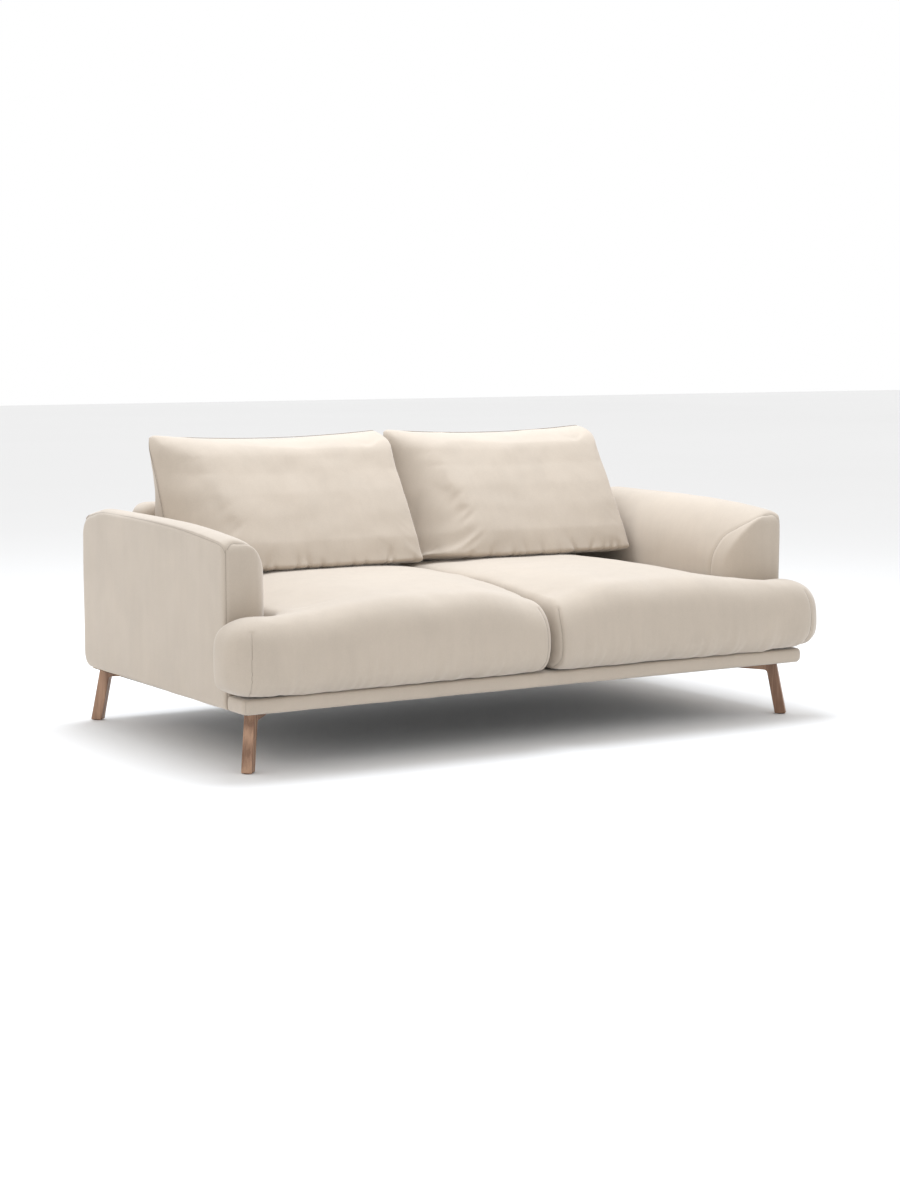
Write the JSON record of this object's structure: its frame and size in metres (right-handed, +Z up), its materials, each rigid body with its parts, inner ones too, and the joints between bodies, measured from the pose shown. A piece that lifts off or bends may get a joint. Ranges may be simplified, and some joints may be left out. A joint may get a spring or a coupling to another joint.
{
  "type": "sofa",
  "caption": "Low sofa with loose wing-ended seat cushions, loose knife-edge back cushions, soft rounded arms and splayed wooden plank legs.",
  "frame": {"origin": "on the floor, under the middle of the sofa's overall box", "axes": "+Z up, front of the seat towards -Y, +X along the seat, to the right as seen from the front"},
  "size_m": [2.07, 1.1641, 0.8846],
  "materials": {
    "velvet": "short-pile warm beige upholstery velvet",
    "deck_cloth": "the same cloth, stretched over the deck",
    "leg_wood": "brown stained oak, satin oil",
    "frame_wood": "planed pale softwood, unfinished",
    "hardboard": "brown hardboard, unfinished",
    "foam": "cut upholstery foam",
    "webbing": "woven elastic webbing",
    "felt": "needled grey felt",
    "dust_cloth": "black spun-bonded cloth",
    "steel": "zinc-plated, dull",
    "zip": "beige coil zip on woven tape",
    "glide_plastic": "dark moulded plastic"
  },
  "bodies": {
    "frame": {"back_bottom_rail": "frame_wood", "back_centre_stile": "frame_wood", "back_cover": "velvet", "back_padding": "foam", "back_top_rail": "frame_wood", "back_webbing": "webbing", "bolt_washers": "steel", "centre_rail": "frame_wood", "corner_blocks": "frame_wood", "deck_cloth": "deck_cloth", "deck_felt": "felt", "dust_cover": "dust_cloth", "frame_bolts": "steel", "front_rail": "frame_wood", "front_rail_cover": "velvet", "front_rail_padding": "foam", "left_arm_cover": "velvet", "left_arm_facing": "velvet", "left_arm_front_post": "frame_wood", "left_arm_inner_panel": "hardboard", "left_arm_outer_panel": "hardboard", "left_arm_padding": "foam", "left_arm_rear_post": "frame_wood", "left_arm_top_rail": "frame_wood", "left_back_stile": "frame_wood", "left_front_leg": "leg_wood", "left_rear_leg": "leg_wood", "left_seat_webbing": "webbing", "left_side_rail": "frame_wood", "leg_glides": "glide_plastic", "leg_screws": "steel", "outside_back": "velvet", "rear_rail": "frame_wood", "right_arm_cover": "velvet", "right_arm_facing": "velvet", "right_arm_front_post": "frame_wood", "right_arm_inner_panel": "hardboard", "right_arm_outer_panel": "hardboard", "right_arm_padding": "foam", "right_arm_rear_post": "frame_wood", "right_arm_top_rail": "frame_wood", "right_back_stile": "frame_wood", "right_front_leg": "leg_wood", "right_rear_leg": "leg_wood", "right_seat_webbing": "webbing", "right_side_rail": "frame_wood"},
    "left_seat_cushion": {"left_seat_cushion_cover": "velvet", "left_seat_cushion_core": "foam", "left_seat_cushion_zip": "zip"},
    "left_back_cushion": {"left_back_cushion_cover": "velvet", "left_back_cushion_core": "foam", "left_back_cushion_zip": "zip"},
    "right_seat_cushion": {"right_seat_cushion_cover": "velvet", "right_seat_cushion_core": "foam", "right_seat_cushion_zip": "zip"},
    "right_back_cushion": {"right_back_cushion_cover": "velvet", "right_back_cushion_core": "foam", "right_back_cushion_zip": "zip"}
  },
  "joints": [
    {"name": "left_seat_cushion_pull", "type": "slide", "parent": "frame", "child": "left_seat_cushion", "axis": [0, -1, 0], "range_m": [0, 0.3]},
    {"name": "left_back_cushion_lift", "type": "slide", "parent": "frame", "child": "left_back_cushion", "axis": [0, 0, 1], "range_m": [0, 0.3]},
    {"name": "right_seat_cushion_pull", "type": "slide", "parent": "frame", "child": "right_seat_cushion", "axis": [0, -1, 0], "range_m": [0, 0.3]},
    {"name": "right_back_cushion_lift", "type": "slide", "parent": "frame", "child": "right_back_cushion", "axis": [0, 0, 1], "range_m": [0, 0.3]}
  ]
}
